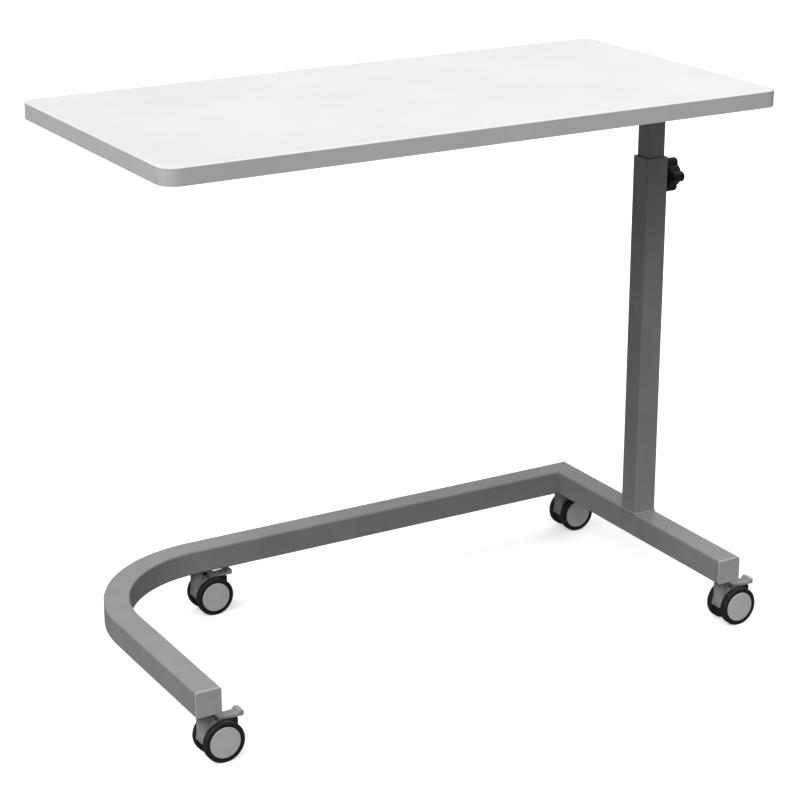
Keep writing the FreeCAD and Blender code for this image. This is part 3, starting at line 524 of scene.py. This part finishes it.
def make_screws(frame, material):
    """Pan-head screws with a cross recess, in place of the plain CAD ones."""
    mesh = bmesh.new()
    outline = [(SCREW_SHANK, -SCREW_POINT), (SCREW_SHANK, -SCREW_LENGTH), (HEAD_RADIUS, -SCREW_LENGTH)]
    dome = HEAD_HEIGHT - HEAD_SIDE
    for radius, height in crown(HEAD_RADIUS, dome, HEAD_CROWN_STEPS):
        if radius > RECESS_REACH:
            outline.append((radius, -SCREW_LENGTH - HEAD_SIDE - height))
    flat = outline[-1][1]
    for tip in screw_tips(frame):
        shank, rim = turn(mesh, tip, Z_AXIS, X_AXIS, outline)
        close_end(mesh, shank, tip)
        sink_recess(mesh, rim, tip + Z_AXIS * flat)
    screws = add_piece("screws", mesh, material, "table")
    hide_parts("panel_screws")


def make_knob_cap(material):
    """Low domed cap that closes the moulding in the knob's outer face."""
    mesh = bmesh.new()
    center = middle("clamp_knob")
    center.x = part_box("clamp_knob")[1].x
    radius = half_size("clamp_knob").y * CAP_SHARE
    outline = crown(radius, CAP_CROWN, CAP_STEPS)
    top = turn(mesh, center, X_AXIS, Y_AXIS, outline)[1]
    close_end(mesh, top, center + X_AXIS * CAP_CROWN)
    add_piece("knob_cap", mesh, material, "clamp_knob")


# ---------------------------------------------------------------- black blocks of painted shade


def add_block(mesh, low, high):
    """Box between two corners, with its edges rounded."""
    # The cube reaches from -1 to 1 along each axis.
    points = bmesh.ops.create_cube(mesh, size=2)["verts"]
    for point in points:
        point.co = (low + high) / 2 + point.co * (high - low) / 2
    edges = dict.fromkeys(edge for point in points for edge in point.link_edges)
    bmesh.ops.bevel(
        mesh,
        geom=list(edges),
        offset=BLOCK_EDGE,
        segments=BLOCK_EDGE_SEGMENTS,
        profile=ROUND_PROFILE,
        affect="EDGES",
    )


def make_painted_shade_blocks(hood, material):
    """The pair of black blocks, one on each side of the pedal's slot, that paint the shade under the
    pedal.
    """
    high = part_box(hood)[1]
    top = high.z - BLOCK_TOP_DROP
    front = high.x + BLOCK_SKIN
    inner = BLOCK_INNER_OFFSET
    outer = half_size(hood).y + BLOCK_SKIN
    mesh = bmesh.new()
    for start, end in ((-outer, -inner), (inner, outer)):
        add_block(
            mesh,
            Vector((front - BLOCK_LENGTH, middle(hood).y + start, top - BLOCK_HEIGHT)),
            Vector((front, middle(hood).y + end, top)),
        )
    add_piece(hood.replace("_hood", "_painted_shade_blocks"), mesh, material, hood)


# Black blocks on every caster hood, as painted shade under its brake pedal.
def make_all_painted_shade_blocks(frame, material):
    for entry in frame["record"]["subparts"]:
        if entry["node"].endswith("_hood"):
            make_painted_shade_blocks(entry["node"], material)


# ---------------------------------------------------------------- welds


def rounded_loop(center, across, up, half_across, half_up, corner):
    """Closed rounded rectangle in the plane of two axes, as evenly spaced points."""
    corners = [(1, 1), (-1, 1), (-1, -1), (1, -1)]
    outline = []
    for quarter, (side, level) in enumerate(corners):
        for step in range(CORNER_STEPS + 1):
            angle = math.pi / 2 * (quarter + step / CORNER_STEPS)
            flat = side * (half_across - corner) + corner * math.cos(angle)
            tall = level * (half_up - corner) + corner * math.sin(angle)
            outline.append(center + across * flat + up * tall)
    return spread_points(outline + outline[:1])[:-1]


def spread_points(route):
    """Points at bead steps along a route."""
    lengths = [(after - before).length for before, after in zip(route, route[1:])]
    count = max(2, round(sum(lengths) / BEAD_STEP))
    spacing = sum(lengths) / count
    points = [route[0].copy()]
    travelled = 0.0
    wanted = spacing
    for start, end, length in zip(route, route[1:], lengths):
        while length > 0 and wanted <= travelled + length + STEP_SLACK:
            points.append(start.lerp(end, (wanted - travelled) / length))
            wanted += spacing
        travelled += length
    return points


def make_bead(name, points, plane_normal, radius, material, body, closed=True):
    """Half-round weld bead along points in one plane, flat on its inner side, with ripples."""
    mesh = bmesh.new()
    rings = []
    count = len(points)
    for index, point in enumerate(points):
        before = points[index - 1] if closed or index > 0 else point
        after = points[(index + 1) % count] if closed or index + 1 < count else point
        outward = (after - before).normalized().cross(plane_normal)
        ripple = math.sin(2 * math.pi * index * BEAD_STEP / RIPPLE_PITCH)
        size = radius * (1 + RIPPLE_DEPTH * ripple)
        ring = []
        for side in range(BEAD_SIDES):
            angle = 2 * math.pi * side / BEAD_SIDES
            offset = outward * max(0.0, math.cos(angle)) + plane_normal * math.sin(angle)
            ring.append(mesh.verts.new(point + offset * size))
        rings.append(ring)
    pairs = list(zip(rings, rings[1:]))
    if closed:
        pairs.append((rings[-1], rings[0]))
    for ring, following in pairs:
        join_rings(mesh, ring, following)
    if not closed:
        for ring, end in ((rings[0], points[0]), (rings[-1], points[-1])):
            close_end(mesh, ring, end)
    add_piece(name, mesh, material, body)


def weld_tube_end(name, node, level, radius, material, body):
    """Bead around one end of an upright square tube; it stands a little proud along Y."""
    center = middle(node)
    center.z = level
    half = half_size(node).x
    half_x = half - radius * TUBE_INSET
    half_y = half + radius * TUBE_BULGE
    points = rounded_loop(center, X_AXIS, Y_AXIS, half_x, half_y, TUBE_CORNER)
    make_bead(name, points, Z_AXIS, radius, material, body)


def weld_mitre(material):
    """Low ground bead around the mitred corner of the base."""
    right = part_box("column_rail")[1]
    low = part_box("curved_rail")[0].z
    half = half_size("column_rail").x
    inset = MITRE_BEAD * MITRE_INSET
    along = (X_AXIS + Y_AXIS).normalized()
    center = Vector((right.x - half, right.y - half, low + half))
    half_along = half * math.sqrt(2)
    points = rounded_loop(center, along, Z_AXIS, half_along - inset, half - inset, MITRE_CORNER)
    make_bead("mitre_weld", points, along.cross(Z_AXIS), MITRE_BEAD, material, "base")


def weld_boss(material):
    """Bead around the clamp boss on the column."""
    center = middle("clamp_boss")
    center.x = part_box("clamp_boss")[0].x
    half = half_size("clamp_boss").y
    points = rounded_loop(center, Y_AXIS, Z_AXIS, half, half, half)
    make_bead("boss_weld", points, X_AXIS, BOSS_BEAD, material, "base")


def weld_bars(material):
    """Short beads where the beam's top edges meet the cross bars."""
    low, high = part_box("cross_bars")
    beam_low, beam_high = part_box("support_beam")
    run = X_AXIS * (BAR_WIDTH - 2 * BAR_WELD_END)
    for end, start in (("far", low.x), ("near", high.x - BAR_WIDTH)):
        for side, edge in (("front", beam_low.y), ("back", beam_high.y)):
            first = Vector((start + BAR_WELD_END, edge, beam_high.z))
            ends = [first, first + run] if side == "front" else [first + run, first]
            name = f"bar_weld_{end}_{side}"
            make_bead(name, spread_points(ends), Z_AXIS, BAR_BEAD, material, "table", closed=False)


def make_welds(material):
    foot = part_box("outer_column")[0].z
    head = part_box("inner_mast")[1].z
    weld_tube_end("column_weld", "outer_column", foot, COLUMN_BEAD, material, "base")
    weld_tube_end("mast_weld", "inner_mast", head, MAST_BEAD, material, "table")
    weld_mitre(material)
    weld_boss(material)
    weld_bars(material)


# ---------------------------------------------------------------- stage


def make_floor():
    """Plain pale floor, lit evenly from within like a studio table, so shadows on it stay faint."""
    surface = Surface("floor", specular=0.0)
    surface.shader.inputs["Emission Color"].default_value = (1, 1, 1, 1)
    surface.shader.inputs["Emission Strength"].default_value = FLOOR_GLOW
    color = surface.mottle(surface.noise(size=0.6), grey(0.90), grey(0.92))
    material = surface.finish(color, sheen=surface.noise(size=0.3), roughness=(0.8, 0.9))
    mesh = bmesh.new()
    corners = [(-1, -1), (1, -1), (1, 1), (-1, 1)]
    mesh.faces.new([mesh.verts.new((FLOOR_HALF * x, FLOOR_HALF * y, 0)) for x, y in corners])
    data = bpy.data.meshes.new("floor")
    mesh.to_mesh(data)
    mesh.free()
    floor = bpy.data.objects.new("floor", data)
    # The floor sends no light up to the object, so the object's undersides stay dark.
    floor.visible_diffuse = False
    floor.visible_glossy = False
    bpy.context.scene.collection.objects.link(floor)
    cover(floor, material)


def towards(azimuth, elevation):
    """Direction from the table to a lamp or camera at two angles, in radians; azimuth 0 is -Y."""
    flat = math.cos(elevation)
    return Vector((math.sin(azimuth) * flat, -math.cos(azimuth) * flat, math.sin(elevation)))


def add_lamp(name, azimuth, elevation, strength, width):
    """Broad soft lamp, far away in one direction; the angles are in degrees."""
    light = bpy.data.lights.new(name, "SUN")
    light.energy = strength
    light.angle = math.radians(width)
    lamp = bpy.data.objects.new(name, light)
    source = towards(math.radians(azimuth), math.radians(elevation))
    lamp.rotation_mode = "QUATERNION"
    lamp.rotation_quaternion = source.to_track_quat("Z", "Y")
    bpy.context.scene.collection.objects.link(lamp)


def light_scene():
    """White backdrop that gives dim light, and broad lamps, most of them above the left and front."""
    world = bpy.data.worlds.new("studio")
    world.use_nodes = True
    tree = world.node_tree
    background = tree.nodes["Background"]
    background.inputs["Color"].default_value = (1, 1, 1, 1)
    seen = tree.nodes.new("ShaderNodeLightPath")
    strength = tree.nodes.new("ShaderNodeMapRange")
    strength.inputs["To Min"].default_value = WORLD_STRENGTH
    strength.inputs["To Max"].default_value = BACKDROP_STRENGTH
    tree.links.new(seen.outputs["Is Camera Ray"], strength.inputs["Value"])
    tree.links.new(strength.outputs["Result"], background.inputs["Strength"])
    bpy.context.scene.world = world
    for lamp in LAMPS:
        add_lamp(*lamp)


def add_camera():
    """Camera at the photograph's viewing angle, with everything in focus."""
    data = bpy.data.cameras.new("camera")
    data.sensor_width = SENSOR_WIDTH
    data.lens = CAMERA_LENS
    data.dof.use_dof = False
    camera = bpy.data.objects.new("camera", data)
    back = towards(CAMERA_AZIMUTH, CAMERA_ELEVATION)
    camera.location = CAMERA_AIM + back * CAMERA_DISTANCE
    camera.rotation_mode = "QUATERNION"
    camera.rotation_quaternion = back.to_track_quat("Z", "Y")
    bpy.context.scene.collection.objects.link(camera)
    bpy.context.scene.camera = camera


def main():
    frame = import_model()
    bpy.context.scene.view_settings.view_transform = "Standard"
    materials = {slot: make() for slot, make in MATERIAL_MAKERS.items()}
    finish_nodes(frame, materials)
    make_screws(frame, materials["zinc_steel"])
    make_knob_cap(materials["black_plastic"])
    # Black blocks on the caster hoods are painted shade under the brake pedals.
    make_all_painted_shade_blocks(frame, materials["black_plastic"])
    make_welds(materials["frame_paint"])
    make_floor()
    light_scene()
    add_camera()


main()
